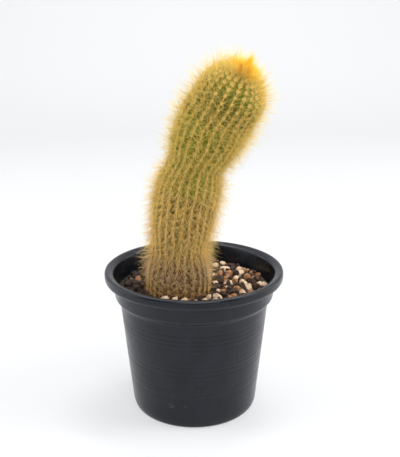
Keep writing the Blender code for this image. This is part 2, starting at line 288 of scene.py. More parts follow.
def black_plastic(settings):
    """Moulded black plastic: satin, with faint turning lines, dust and a few pale scuffs."""
    shader = Shader("black_nursery_plastic", 0.28, specular=0.32)
    lines = shader.noise(1.1, detail=2.0, stretch=(60.0, 60.0, 1.0))
    cloud = shader.noise(14.0, detail=5.0)
    dust = shader.between(shader.noise(0.9, detail=6.0, rough=0.7), 0.66, 0.8)
    streak = shader.between(shader.noise(2.4, detail=4.0, stretch=(3.0, 3.0, 0.7)), 0.71, 0.76)
    shade = shader.mix(shader.between(cloud, 0.3, 0.7), settings.plastic_colour, settings.plastic_bloom)
    shade = shader.mix(shader.between(lines, 0.45, 0.8, 0.0, 0.35), shade, settings.plastic_bloom)
    shade = shader.mix(shader.product(dust, settings.dust), shade, DUST)
    scuff = shader.product(shader.reckoned("MAXIMUM", streak, dust), 0.35 * settings.dust)
    scuff = shader.reckoned("MAXIMUM", scuff, shader.scratches(SCUFF_MM, SCUFF_REACH_MM))
    shader.colour(shader.mix(scuff, shade, SCUFF))
    shader.roughness(shader.between(cloud, 0.3, 0.75, 0.22, 0.32))
    shader.surface.inputs["Specular Tint"].default_value = COOL_SHEEN
    grain = shader.bump(shader.noise(0.35, detail=2.0), 0.02, 0.35)
    shader.bump(lines, 0.16, 0.5, below=grain)
    return shader.material


def potting_mix(settings):
    """Dark, damp, crumbly mix."""
    shader = Shader("dark_potting_mix", 0.92, specular=0.3)
    lumps = shader.noise(1.6, detail=8.0, rough=0.65)
    shade = shader.mix(shader.between(lumps, 0.35, 0.7), settings.mix_dark, settings.mix_light)
    flecks = shader.between(shader.noise(0.5, detail=3.0), 0.62, 0.75)
    shader.colour(shader.mix(flecks, shade, DRY_FLECKS))
    shader.bump(lumps, 1.2, 0.9)
    return shader.material


def stone_surface(name, pale, deep, pores):
    """Pumice or lava: mottled, with pores darkened by painted shade, and a different tone for each stone."""
    shader = Shader(name, 0.9, specular=0.3)
    tone = shader.attribute("tone")
    mottle = shader.noise(1.3, detail=6.0, rough=0.6)
    shade = shader.mix(shader.between(mottle, 0.3, 0.72), pale, deep)
    shade = shader.mix(shader.between(tone, 0.0, 1.0, 0.0, 0.55), shade, deep)
    pits = shader.between(shader.cells(0.75), 0.1, 0.35, 1.0, 0.0)
    pits = shader.product(pits, shader.between(shader.noise(2.2), 0.45, 0.6))
    # Painted shade: the pits, which the bump makes hollow, are darkened.
    shader.colour(shader.mix(shader.product(pits, pores), shade, STONE_PORE_SHADE))
    hollow = shader.bump(shader.reckoned("SUBTRACT", 1.0, pits), 0.25, 0.8)
    shader.bump(mottle, 0.5, 0.6, below=hollow)
    return shader.material


def cactus_skin(settings):
    """Waxy skin: green above the waist, brown below it and in a band under the crown, darkest at the foot."""
    shader = Shader("ribbed_green_skin", 0.6, specular=0.15)
    growth = shader.attribute("growth")
    crest = shader.attribute("crest")
    blotch = shader.noise(5.0, detail=4.0)
    young = shader.between(shader.sum(growth, shader.product(blotch, 0.1)), 0.46, 0.54)
    tan = shader.product(shader.between(growth, 0.72, 0.78), shader.between(growth, 0.85, 0.9, 1.0, 0.0))
    young = shader.reckoned("SUBTRACT", young, shader.product(tan, 0.6))
    shade = shader.mix(young, settings.skin_old, settings.skin_young)
    shade = shader.mix(shader.between(crest, 0.35, 1.0, 0.0, 0.6), shade, settings.skin_crest)
    foot = shader.between(shader.sum(growth, shader.product(blotch, 0.08)), 0.17, 0.28, 1.0, 0.0)
    shader.colour(shader.mix(foot, shade, settings.skin_foot))
    shader.bump(shader.noise(0.5, detail=3.0), 0.08, 0.5)
    return shader.material


def spine_horn(name, young, old, tip, pale, root):
    """Fine horny spines: their own tint each, paler to the tip, browner down the stem, and darker at the
    root, where painted shade stands for the shade among them near the skin.
    """
    shader = Shader(name, 0.5, specular=0.06)
    growth = shader.attribute("growth")
    tint = shader.attribute("tint")
    along = shader.attribute("along")
    shade = shader.mix(shader.between(growth, 0.1, 0.75), old, young)
    shade = shader.mix(shader.between(growth, 0.14, 0.23, 1.0, 0.0), shade, LOW_SPINES)
    shade = shader.mix(shader.between(growth, 0.08, 0.11, 1.0, 0.0), shade, FOOT_SPINES)
    shade = shader.mix(shader.between(tint, 0.6, 1.0, 0.0, 0.6), shade, DARK_SPINES)
    shade = shader.mix(shader.between(tint, 0.0, 0.35, 0.55, 0.0), shade, pale)
    shade = shader.mix(shader.between(along, 0.45, 1.0, 0.0, 0.6), shade, tip)
    # Darker towards the root: painted shade where the spines leave the skin.
    shader.colour(shader.mix(shader.between(along, 0.0, 0.5, 0.5, 0.0), shade, root))
    shader.surface.inputs["Subsurface Weight"].default_value = 0.15
    shader.surface.inputs["Subsurface Radius"].default_value = (0.6, 0.4, 0.15)
    shader.surface.inputs["Subsurface Scale"].default_value = 0.5 * MM
    return shader.material


def wool(name, young, old, flecks=WOOL_FLECKS):
    """Short felted wool of the areoles and of the growing tip."""
    shader = Shader(name, 0.95, specular=0.15)
    fleck = shader.noise(0.45, detail=5.0, rough=0.7)
    shade = shader.mix(shader.between(shader.attribute("growth"), 0.25, 0.85), old, young)
    shader.colour(shader.mix(shader.between(fleck, 0.35, 0.75, 0.0, 0.5), shade, flecks))
    shader.surface.inputs["Sheen Weight"].default_value = 0.4
    shader.surface.inputs["Sheen Roughness"].default_value = 0.5
    shader.bump(fleck, 0.25, 0.8)
    return shader.material


def floor_sheet(settings):
    """Pale floor sheet with painted light: it glows a little, by an amount that varies along Y, as painted
    light and shade.
    """
    shader = Shader("pale_floor", 0.6, specular=0.2)
    clouds = shader.between(shader.noise(300.0), 0.2, 0.8, 0.0, 0.1)
    shader.colour(shader.mix(clouds, settings.floor_colour, FLOOR_CLOUDS))
    axes = shader.node("ShaderNodeSeparateXYZ")
    shader.wire(shader.place, axes.inputs[0])
    # Painted light: the glow colour is graded along Y, brighter at the front and darker round the pot.
    glow = FLOOR_PAINTED_LIGHT_FRONT
    for start, end, colour in FLOOR_PAINTED_LIGHT_STEPS:
        glow = shader.mix(shader.between(axes.outputs["Y"], start, end), glow, colour)
    shader.wire(glow, shader.surface.inputs["Emission Color"])
    shader.surface.inputs["Emission Strength"].default_value = settings.floor_painted_light
    return shader.material


# Mesh building


def piece_from(name, points, faces, surface, replaced=(), values=None):
    """Makes a smooth-shaded piece that rides on the body, with named values on its points."""
    mesh = bpy.data.meshes.new(name)
    mesh.from_pydata(np.asarray(points, float), [], faces)
    for key, value in (values or {}).items():
        layer = mesh.attributes.new(key, "FLOAT", "POINT")
        layer.data.foreach_set("value", np.asarray(value, np.float32).ravel())
    mesh.materials.append(surface)
    mesh.shade_smooth()
    piece = bpy.data.objects.new(name, mesh)
    bpy.context.scene.collection.objects.link(piece)
    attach(piece, BODY)
    if replaced:
        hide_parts(*replaced)
    return piece


def ring_faces(rings, around):
    """Quads that join rings of points, with a cap on the first and the last ring."""
    ring = np.arange(rings - 1)[:, None] * around
    here = np.arange(around)
    after = (here + 1) % around
    quads = np.stack([ring + here, ring + after, ring + around + after, ring + around + here], axis=-1)
    faces = quads.reshape(-1, 4).tolist()
    faces.append(list(range(around - 1, -1, -1)))
    faces.append(list(range((rings - 1) * around, rings * around)))
    return faces


def level_ring(angles, x, y, z, radius):
    """A level ring of points, all in millimetres, turned into metres."""
    level = np.full(len(angles), z)
    return MM * np.stack([x + radius * np.cos(angles), y + radius * np.sin(angles), level], axis=-1)


def copies(shape, shape_faces):
    """Joins many copies of one shape: shape holds (copies, points, 3)."""
    count, size = shape.shape[:2]
    faces = np.asarray(shape_faces)[None, :, :] + (np.arange(count) * size)[:, None, None]
    return shape.reshape(-1, 3), faces.reshape(-1, np.asarray(shape_faces).shape[1])


def round_block(subdivisions):
    """Points and triangles of a unit icosphere."""
    shell = bmesh.new()
    bmesh.ops.create_icosphere(shell, subdivisions=subdivisions, radius=1.0)
    points = np.array([vertex.co[:] for vertex in shell.verts])
    faces = np.array([[vertex.index for vertex in face.verts] for face in shell.faces])
    shell.free()
    return points, faces


def unit(vectors):
    return vectors / np.linalg.norm(vectors, axis=-1, keepdims=True)


def spin_matrices(draw, count, tilt):
    """Random turns about Z after a random tilt, one for each copy."""
    turns = []
    for _ in range(count):
        turn = Matrix.Rotation(draw.uniform(0.0, math.tau), 3, "Z")
        turn @= Matrix.Rotation(draw.normal(0.0, tilt), 3, "X")
        turn @= Matrix.Rotation(draw.normal(0.0, tilt), 3, "Y")
        turns.append(np.array(turn))
    return np.array(turns)


# Pot


def rounded(points, radius_mm, steps=5):
    """The outline with each of its corners turned into a short curve."""
    found = [points[0]]
    for before, corner, after in zip(points, points[1:], points[2:]):
        before, corner, after = np.array(before), np.array(corner), np.array(after)
        reach = min(radius_mm, 0.45 * np.linalg.norm(corner - before), 0.45 * np.linalg.norm(after - corner))
        start = corner + reach * unit(before - corner)
        end = corner + reach * unit(after - corner)
        for share in np.linspace(0.0, 1.0, steps):
            curve = (1 - share) ** 2 * start + 2 * share * (1 - share) * corner + share**2 * end
            found.append(tuple(curve))
    found.append(points[-1])
    return found


def outer_wall(groove_mm):
    """The outside of the pot from the collar down to the foot, with its fine moulded grooves."""
    collar = rounded([COLLAR_TOP_MM, COLLAR_BOTTOM_MM, WALL_TOP_MM, (45.73, 68.5)], 1.6)
    found = collar[:-1]
    heights = np.arange(68.5, FOOT_CORNER_MM + 2.0, -0.9)
    for groove in GROOVES_MM:
        near = groove + GROOVE_WIDTH_MM * np.array((1.0, 0.5, 0.0, -0.5, -1.0))
        heights = np.concatenate([heights[np.abs(heights - groove) > GROOVE_WIDTH_MM], near])
    for height in np.sort(heights)[::-1]:
        radius = np.interp(height, (0.0, WALL_TOP_MM[1]), (FOOT_RADIUS_MM, WALL_TOP_MM[0]))
        nearest = min(abs(height - groove) for groove in GROOVES_MM)
        depth = groove_mm * max(0.0, 1.0 - nearest / GROOVE_WIDTH_MM)
        found.append((radius - depth, height))
    corner = [
        (FOOT_RADIUS_MM + FOOT_SWELL_MM, FOOT_CORNER_MM),
        (FOOT_RADIUS_MM - FOOT_SWELL_MM, FOOT_CORNER_MM / 3.0),
        (FOOT_RING_MM[1], 0.0),
    ]
    return found + rounded([found[-1]] + corner + [(FOOT_RING_MM[0] + 1.0, 0.0)], 1.5)[1:]


def pot_outline(groove_mm):
    inside = [
        (0.5, BASE_MM[1]),
        (FOOT_RADIUS_MM - WALL_MM - INNER_CORNER_MM, BASE_MM[1]),
        (FOOT_RADIUS_MM - WALL_MM, BASE_MM[1] + INNER_CORNER_MM),
        (WALL_TOP_MM[0] - WALL_MM, WALL_TOP_MM[1]),
        (COLLAR_BOTTOM_MM[0] - WALL_MM, COLLAR_BOTTOM_MM[1]),
        (COLLAR_TOP_MM[0] - WALL_MM, COLLAR_TOP_MM[1]),
    ]
    lip = rounded([inside[-1], *LIP_OUTSIDE_MM, *LIP_UNDERSIDE_MM, COLLAR_TOP_MM], 0.9)
    ring = FOOT_RING_MM[0]
    foot = rounded([(ring + 1.0, 0.0), (ring, 0.0), (ring, BASE_MM[0]), (0.5, BASE_MM[0])], 0.6)
    return rounded(inside, 1.5)[:-1] + lip[:-1] + outer_wall(groove_mm) + foot[1:]


def cut_drain_holes(pot):
    """Cuts the round drain holes through the base."""
    centres = [(0.0, 0.0)]
    for number in range(DRAIN_RING_COUNT):
        angle = math.tau * number / DRAIN_RING_COUNT
        centres.append((DRAIN_RING_MM * math.cos(angle), DRAIN_RING_MM * math.sin(angle)))
    collection = bpy.data.collections.new("drain_cutters")
    cutters = []
    for x, y in centres:
        shell = bmesh.new()
        bmesh.ops.create_cone(
            shell,
            cap_ends=True,
            segments=40,
            radius1=MM * DRAIN_RADIUS_MM,
            radius2=MM * DRAIN_RADIUS_MM,
            depth=MM * 3.0 * (BASE_MM[1] - BASE_MM[0]),
            matrix=Matrix.Translation(lengths(x, y, 0.5 * (BASE_MM[0] + BASE_MM[1]))),
        )
        mesh = bpy.data.meshes.new("drain_cutter")
        shell.to_mesh(mesh)
        shell.free()
        cutters.append(bpy.data.objects.new("drain_cutter", mesh))
        collection.objects.link(cutters[-1])
    bpy.context.scene.collection.children.link(collection)
    cut = pot.modifiers.new("Drain holes", "BOOLEAN")
    cut.operand_type = "COLLECTION"
    cut.collection = collection
    graph = bpy.context.evaluated_depsgraph_get()
    pot.data = bpy.data.meshes.new_from_object(pot.evaluated_get(graph))
    pot.modifiers.clear()
    for cutter in cutters:
        bpy.data.objects.remove(cutter)
    bpy.data.collections.remove(collection)


# Stem curve


def stem_stations(step):
    """Centre and crest radius in metres at each step, on a smooth curve through the stations."""
    index = np.clip(np.floor(step).astype(int), 0, LAST_STATION - 1)
    share = (step - index)[..., None]
    nearest = [STATIONS_MM[np.clip(index + near, 0, LAST_STATION)] for near in (-1, 0, 1, 2)]
    before, start, end, after = nearest
    linear = 0.5 * (end - before)
    square = before - 2.5 * start + 2.0 * end - 0.5 * after
    cube = 0.5 * (after - before) + 1.5 * (start - end)
    found = MM * (start + share * (linear + share * (square + share * cube)))
    return found[..., :3], found[..., 3]


def stem_section(step):
    """Centre, crest radius and the three axes of the stem; past the last station the dome closes."""
    step = np.asarray(step, float)
    trunk = np.minimum(step, LAST_STATION)
    centre, radius = stem_stations(trunk)
    along = unit(centre - stem_stations(trunk - 0.02)[0])
    side = unit(np.array((1.0, 0.0, 0.0)) - along[..., :1] * along)
    back = np.cross(along, side)
    radius = radius - MM * WAIST_DEPTH_MM * np.exp(-(((step - WAIST_STEP) / WAIST_WIDTH) ** 2))
    angle = np.radians(DOME_ANGLE * np.maximum(step - LAST_STATION, 0.0))
    closing = (1.0 - np.cos(angle))[..., None]
    centre = centre + MM * DOME_LENGTH_MM * np.sin(angle)[..., None] * along
    centre = centre + MM * closing * (DOME_SHIFT_MM[0] * side + DOME_SHIFT_MM[1] * back)
    return centre, radius * np.cos(angle), along, side, back


class StemRows:
    """Where the areoles sit: rows counted up the stem, closer together as the dome narrows."""

    def __init__(self, settings):
        self.ribs = settings.rib_count
        self.steps = np.linspace(0.0, LAST_STATION + 1.0, 900)
        crest = stem_surface(self.steps, np.full(900, math.pi), 0.0)
        self.reach = np.concatenate([[0.0], np.cumsum(np.linalg.norm(np.diff(crest, axis=0), axis=1))])
        closing = np.clip(self.steps - LAST_STATION, 0.0, 1.0)
        spacing = settings.areole_spacing * (1.0 - 0.5 * closing**1.5)
        gaps = np.diff(self.reach) / spacing[1:]
        self.rows = np.concatenate([[0.0], np.cumsum(gaps)])

    def row_at(self, step):
        return np.interp(step, self.steps, self.rows)

    def step_at(self, row):
        return np.interp(row, self.rows, self.steps)

    def growth_at(self, step):
        """Share of the way from the mix to the tip, along the surface."""
        return np.interp(step, self.steps, self.reach) / self.reach[-1]


def stem_surface(step, angle, inset):
    """Points of the stem at each step and angle; inset, in metres, moves them towards the axis."""
    centre, radius, _, side, back = stem_section(step)
    across = np.cos(angle)[..., None] * side + np.sin(angle)[..., None] * back
    return centre + (radius - inset)[..., None] * across


def rib_depth(step, depth):
    """Depth of the furrows: nothing at the foot, and less as the dome narrows."""
    fade = np.clip((step - RIB_FADE[0]) / RIB_FADE[1], 0.15, 1.0)
    radius = stem_section(step)[1]
    return depth * fade * np.minimum(radius / (MM * RIB_FULL_RADIUS_MM), 1.0)


def ribbed_surface(step, angle, rows, settings):
    """The real skin: rounded ribs, swollen under each areole and notched above it."""
    turn = rows.ribs * (angle - rib_sway(step, angle))
    wave = 0.5 + 0.5 * np.cos(turn)
    depth = rib_depth(step, settings.rib_depth)
    rib = np.round(turn / math.tau)
    row = rows.row_at(step) - 0.5 * (rib % 2)
    swell = np.cos(math.tau * row) * settings.tubercle_height * wave**0.8
    return stem_surface(step, angle, depth * (1.0 - wave**0.75) - swell * depth / settings.rib_depth)


def rib_sway(step, angle):
    """How far, in radians, the ribs wander round the stem."""
    wide = 0.045 * np.sin(1.5 * step + 1.7 * np.sin(angle))
    return wide + 0.03 * np.sin(3.4 * step + 2.0 * np.sin(2.0 * angle))


class SkinPlaces:
    """Places on the skin that spines grow from, with the directions up, across and out of the skin."""

    def __init__(self, rows, step, angle):
        small = 0.02
        none = np.zeros(len(step))
        up = stem_surface(step + small, angle, none) - stem_surface(step - small, angle, none)
        side = stem_surface(step, angle + small, none) - stem_surface(step, angle - small, none)
        self.step = step
        self.growth = rows.growth_at(step)
        self.point = stem_surface(step, angle, none)
        self.up = unit(up)
        self.out = unit(np.cross(unit(side), self.up))
        self.side = np.cross(self.up, self.out)

    def chosen(self, keep):
        """The places where keep is true."""
        found = copy(self)
        for key, value in vars(self).items():
            setattr(found, key, value[keep])
        return found


def areole_places(settings):
    """The areoles: on every rib crest, with the rows of neighbouring ribs half a row apart."""
    rows = StemRows(settings)
    steps, angles = [], []
    for rib in range(rows.ribs):
        odd = rib % 2
        row = np.arange(settings.first_row + 0.5 * odd, rows.rows[-1] - 0.2)
        step = rows.step_at(row)
        step = step[step < LAST_STATION + (0.86 if odd else 1.0)]
        steps.append(step)
        angle = math.tau * rib / rows.ribs
        angles.append(angle + rib_sway(step, angle))
    return SkinPlaces(rows, np.concatenate(steps), np.concatenate(angles))


# Spines


def spine_points(roots, directions, bends, length, thickness):
    """Curved, tapering, three-sided spines: two rings of points and a tip each."""
    start = roots - 0.4 * MM * directions
    middle = roots + 0.5 * length[:, None] * directions + 0.25 * bends
    tip = roots + length[:, None] * directions + bends
    spare = np.where(np.abs(directions[:, 2:]) > 0.9, (1.0, 0.0, 0.0), (0.0, 0.0, 1.0))
    first = unit(np.cross(directions, spare))
    second = np.cross(directions, first)
    points = np.empty((len(roots), 7, 3))
    for number in range(3):
        angle = math.tau * number / 3
        across = math.cos(angle) * first + math.sin(angle) * second
        points[:, number] = start + 0.5 * thickness[:, None] * across
        points[:, 3 + number] = middle + 0.38 * thickness[:, None] * across
    points[:, 6] = tip
    return points


SPINE_FACES = np.array(
    (
        (0, 2, 1),
        (0, 1, 4),
        (0, 4, 3),
        (1, 2, 5),
        (1, 5, 4),
        (2, 0, 3),
        (2, 3, 5),
        (3, 4, 6),
        (4, 5, 6),
        (5, 3, 6),
    )
)
SPINE_ALONG = np.array((0.0, 0.0, 0.0, 0.5, 0.5, 0.5, 1.0))


def spine_piece(name, spines, surface, replaced=()):
    """One piece of many spines; spines holds points, growth and tint."""
    points, growth, tint = spines
    flat, faces = copies(points, SPINE_FACES)
    count = len(points)
    values = {
        "along": np.tile(SPINE_ALONG, count),
        "growth": np.repeat(growth, 7),
        "tint": np.repeat(tint, 7),
    }
    return piece_from(name, flat, faces, surface, replaced, values)


GROWTH_STOPS = (0.0, 0.09, 0.16, 0.47, 0.56, 0.7, 0.88, 1.0)


def everywhere(value):
    """A table with the same value at all of GROWTH_STOPS."""
    return (value,) * len(GROWTH_STOPS)


class Spray:
    """How one kind of spine stands at each areole.

    count, thickness and bend are plain numbers, and the rest are tables over GROWTH_STOPS, foot to tip.
    Thickness and length are in millimetres. A spine stands between lift_low and lift_high degrees off the
    skin, and lean pulls it up the stem. along_rib gathers the spines along the rib, narrow shortens those
    that point across it, and bend is how far a tip strays, as a share of its length.
    """

    def __init__(
        self,
        count,
        lift_low,
        lift_high,
        length,
        thickness,
        lean,
        bend,
        along_rib=everywhere(0.0),
        narrow=everywhere(0.0),
    ):
        self.count = count
        self.lift_low = lift_low
        self.lift_high = lift_high
        self.length = length
        self.thickness = thickness
        self.lean = lean
        self.along_rib = along_rib
        self.narrow = narrow
        self.bend = bend

    def spines(self, areoles, draw):
        """Points, growth and tint of the spines of these areoles."""
        total, count = len(areoles.step), self.count
        shape = (total, count)

        def held(table):
            return np.interp(areoles.growth, GROWTH_STOPS, table)[:, None]

        turn = (np.arange(count) + draw.uniform(0, 1, (total, 1))) * math.tau / count
        turn = turn + draw.normal(0.0, 0.35 * math.tau / count, shape)
        turn = turn - held(self.along_rib) * np.sin(2.0 * turn)
        lift = draw.uniform(0.0, 1.0, shape) * (held(self.lift_high) - held(self.lift_low))
        rise = np.radians(lift + held(self.lift_low))
        flat = np.cos(turn)[..., None] * areoles.up[:, None] + np.sin(turn)[..., None] * areoles.side[:, None]
        direction = np.cos(rise)[..., None] * flat + np.sin(rise)[..., None] * areoles.out[:, None]
        direction = unit(direction + held(self.lean)[..., None] * areoles.up[:, None])
        roots = areoles.point[:, None] + MM * (0.45 * flat + 0.1 * areoles.out[:, None])
        size = MM * held(self.length) * draw.uniform(0.7, 1.2, shape)
        size = size * (1.0 - held(self.narrow) * np.sin(turn) ** 2)
        curl = draw.normal(0.0, self.bend, shape + (3,)) * size[..., None]
        width = MM * self.thickness * draw.uniform(0.75, 1.25, shape)
        flat_rows = [values.reshape(-1, 3) for values in (roots, direction, curl)]
        points = spine_points(*flat_rows, size.ravel(), width.ravel())
        return points, np.repeat(areoles.growth, count), draw.uniform(0, 1, total * count)


FLAT_SPRAY = Spray(
    count=11,
    lift_low=(0, 5, 8, 8, 6, 10, 14, 75),
    lift_high=(15, 15, 20, 22, 16, 24, 34, 85),
    length=(2.6, 3.0, 3.7, 6.6, 3.9, 6.0, 4.2, 3.4),
    thickness=0.24,
    lean=(-0.8, -0.5, -0.2, -0.1, 0.0, 0.1, 0.1, 0.3),
    along_rib=(0.0, 0.1, 0.3, 0.42, 0.48, 0.4, 0.2, 0.0),
    narrow=(0.0, 0.0, 0.3, 0.45, 0.7, 0.45, 0.2, 0.0),
    bend=0.05,
)
RAISED_SPRAY = Spray(
    count=6,
    lift_low=(5, 5, 30, 25, 18, 30, 48, 50),
    lift_high=(20, 25, 72, 75, 60, 80, 84, 85),
    length=(4.5, 5.5, 7.4, 9.2, 6.4, 9.6, 7.0, 7.0),
    thickness=0.18,
    lean=(-0.9, -0.8, -0.6, -0.35, 0.0, 0.12, 0.25, 0.4),
    bend=0.1,
)
LONG_SPRAY = Spray(
    count=5,
    lift_low=(5, 5, 20, 25, 20, 25, 35, 45),
    lift_high=(25, 30, 70, 75, 65, 75, 80, 88),
    length=(6.0, 8.0, 12.0, 12.5, 10.5, 12.5, 12.5, 12.0),
    thickness=0.14,
    lean=(-0.9, -0.8, -0.7, -0.5, 0.0, 0.15, 0.3, 0.5),
    bend=0.08,
)
TUFT_SPRAY = Spray(
    count=7,
    lift_low=(30, 30, 30, 35, 40, 50, 62, 70),
    lift_high=everywhere(90),
    length=(1.2, 1.2, 1.4, 1.6, 1.6, 1.8, 2.6, 3.5),
    thickness=0.26,
    lean=(0.0, 0.0, 0.0, 0.0, 0.0, 0.05, 0.1, 0.2),
    bend=0.05,
)
MANTLE_SPRAY = Spray(
    count=1,
    lift_low=everywhere(35),
    lift_high=everywhere(80),
    length=everywhere(6.0),
    thickness=0.15,
    lean=everywhere(0.45),
    bend=0.1,
)


def joined(*sprays):
    """Several sets of spines as one."""
    return tuple(np.concatenate(parts) for parts in zip(*sprays))


# Settings


def colour_setting(name, description, default):
    return FloatVectorProperty(name=name, description=description, subtype="COLOR", default=default)


def length_setting(name, description, default):
    return FloatProperty(name=name, description=description, unit="LENGTH", default=default)


def angle_setting(name, description, default):
    return FloatProperty(name=name, description=description, unit="ROTATION", default=default)


def count_setting(name, description, default, least):
    return IntProperty(name=name, description=description, default=default, min=least)


class HAAGEO_PotSettings(bpy.types.PropertyGroup):
    """Looks of the pot."""

    plastic_colour: colour_setting("Plastic", "Colour of the black plastic", (0.0034, 0.0038, 0.0055))
    plastic_bloom: colour_setting("Bloom", "Greyer cast of the worn plastic", (0.0070, 0.0077, 0.0105))
    dust: FloatProperty(name="Dust", description="How dusty the plastic is", default=0.3, min=0.0, max=1.0)
    groove_depth: length_setting("Groove depth", "Depth of the moulded rings", 0.00014)
    sides: count_setting("Sides", "Facets round the pot", 176, least=24)


class HAAGEO_MixSettings(bpy.types.PropertyGroup):
    """Looks of the potting mix and of the stones on it."""

    mix_dark: colour_setting("Mix", "Colour of the damp mix", (0.012, 0.008, 0.006))
    mix_light: colour_setting("Dry mix", "Colour of its dry crumbs", (0.06, 0.04, 0.026))
    pumice: colour_setting("Pumice", "Colour of the pale stones", (0.74, 0.58, 0.42))
    pumice_deep: colour_setting("Pumice, deep", "Darker tone of the pale stones", (0.50, 0.34, 0.20))
    lava: colour_setting("Tan stone", "Colour of the orange stones", (0.44, 0.22, 0.09))
    lava_deep: colour_setting("Tan stone, deep", "Darker tone of them", (0.20, 0.09, 0.04))
    bark: colour_setting("Bark", "Colour of the dark lumps", (0.07, 0.038, 0.02))
    bark_deep: colour_setting("Bark, deep", "Darker tone of them", (0.018, 0.010, 0.007))
    stone_count: count_setting("Stones", "Stones at random places", 200, least=0)
    crumb_count: count_setting("Crumbs", "Dark crumbs of the mix", 520, least=0)
    stone_least: length_setting("Least stone", "Radius of the smallest stones", 0.0012)
    stone_most: length_setting("Largest stone", "Radius of the largest stones", 0.0034)


class HAAGEO_StemSettings(bpy.types.PropertyGroup):
    """Shape and colours of the stem."""

    rib_count: count_setting("Ribs", "Ribs round the stem", 24, least=8)
    rib_depth: length_setting("Rib depth", "Depth of the furrows", 0.0017)
    tubercle_height: length_setting("Tubercles", "Swelling of a rib under each areole", 0.00035)
    areole_spacing: length_setting("Areole spacing", "Distance between areoles on a rib", 0.0041)
    first_row: FloatProperty(name="First row", description="Rows below this one stay bare", default=0.15)
    skin_young: colour_setting("Young skin", "Skin near the tip", (0.11, 0.15, 0.006))
    skin_old: colour_setting("Old skin", "Skin of the lower stem", (0.075, 0.05, 0.012))
    skin_crest: colour_setting("Rib crests", "Lighter skin on the ribs", (0.22, 0.17, 0.03))
    skin_foot: colour_setting("Foot", "Corky skin at the foot", (0.035, 0.018, 0.008))


class HAAGEO_SpineSettings(bpy.types.PropertyGroup):
    """Colours of the spines and of the wool that they grow from."""

    young: colour_setting("Young spines", "Golden spines of the top", (0.96, 0.70, 0.17))
    old: colour_setting("Old spines", "Tan spines of the foot", (1.0, 0.66, 0.24))
    tip: colour_setting("Spine tips", "Pale tips", (0.95, 0.66, 0.15))
    pale: colour_setting("Pale spines", "The palest of the spines", (0.97, 0.80, 0.37))
    # Root colour: painted shade where the spines leave the skin.
    root: colour_setting("Spine roots", "Where the spines leave the skin", (0.36, 0.20, 0.05))
    wool_young: colour_setting("Young wool", "Wool of the upper areoles", (0.86, 0.64, 0.18))
    wool_old: colour_setting("Old wool", "Greyed wool of the lower areoles", (0.75, 0.52, 0.22))


class HAAGEO_CrownSettings(bpy.types.PropertyGroup):
    """The orange tuft at the growing tip."""

    spine_count: count_setting("Tuft spines", "Young spines of the tuft", 1500, least=20)
    mantle_count: count_setting("Golden spines", "Spines of the dome round the tuft", 420, least=20)
    length: length_setting("Crown spine length", "Length of the young spines", 0.0062)
    spike_length: length_setting("Spike length", "Length of the spines in the point of the tuft", 0.0125)
    orange: colour_setting("Tuft", "Orange of the youngest spines", (0.97, 0.46, 0.004))
    gold: colour_setting("Tuft edge", "Gold round the tuft", (0.95, 0.58, 0.02))


class HAAGEO_StageSettings(bpy.types.PropertyGroup):
    """Camera, floor and lights."""

    camera_place: FloatVectorProperty(
        name="Camera",
        description="Where the camera stands",
        subtype="XYZ",
        unit="LENGTH",
        default=(0.0038, -0.4453, 0.2534),
    )
    camera_pitch: angle_setting("Pitch", "How far the camera looks down", math.radians(17.27))
    camera_roll: angle_setting("Roll", "How far the camera leans", math.radians(0.165))
    lens: FloatProperty(name="Lens", description="Focal length in mm on a 36 mm sensor", default=60.43)
    floor_colour: colour_setting("Floor", "Colour of the floor", (0.32, 0.323, 0.33))
    # Strength of the painted light that the floor sheet glows with; the sheet is no lamp.
    floor_painted_light: FloatProperty(name="Floor glow", description="Light of the lit floor sheet", default=0.58)
    sky: FloatProperty(name="Room light", description="Strength of the light from all round", default=0.42)
    light_level: FloatProperty(name="Lights", description="Share of full power of the softboxes", default=1.0)


# Lights: name, place, aim, width and height in metres, power in watts, and whether they light and mirror
STUDIO_LIGHTS = (
    ("left_softbox", (-0.75, 0.10, 0.40), (0.0, 0.0, 0.10), (0.9, 0.9), 3.0, True, True),
    ("right_softbox", (0.75, 0.05, 0.45), (0.0, 0.0, 0.10), (0.9, 0.9), 3.6, True, True),
    ("top_softbox", (0.15, 0.3, 1.1), (0.0, 0.0, 0.0), (0.42, 0.32), 4.6, True, True),
    ("backdrop_wash", (0.0, 0.55, 1.35), (0.0, 1.4, 0.25), (2.2, 0.5), 3.5, True, True),
    ("rim_card", (0.0, 0.0, 1.0), (0.0, 0.001, 0.09), (1.8, 0.9), 16.0, False, True),
    ("front_fill", (0.15, -1.1, 0.75), (0.0, 0.0, 0.10), (1.0, 0.8), 9.5, True, True),
    ("left_fill", (-0.9, -0.15, 0.35), (0.0, 0.0, 0.12), (0.5, 0.5), 4.2, True, False),
    ("right_fill", (0.8, -0.15, 0.8), (0.0, 0.0, 0.10), (0.5, 0.5), 5.0, True, False),
)


# Operators


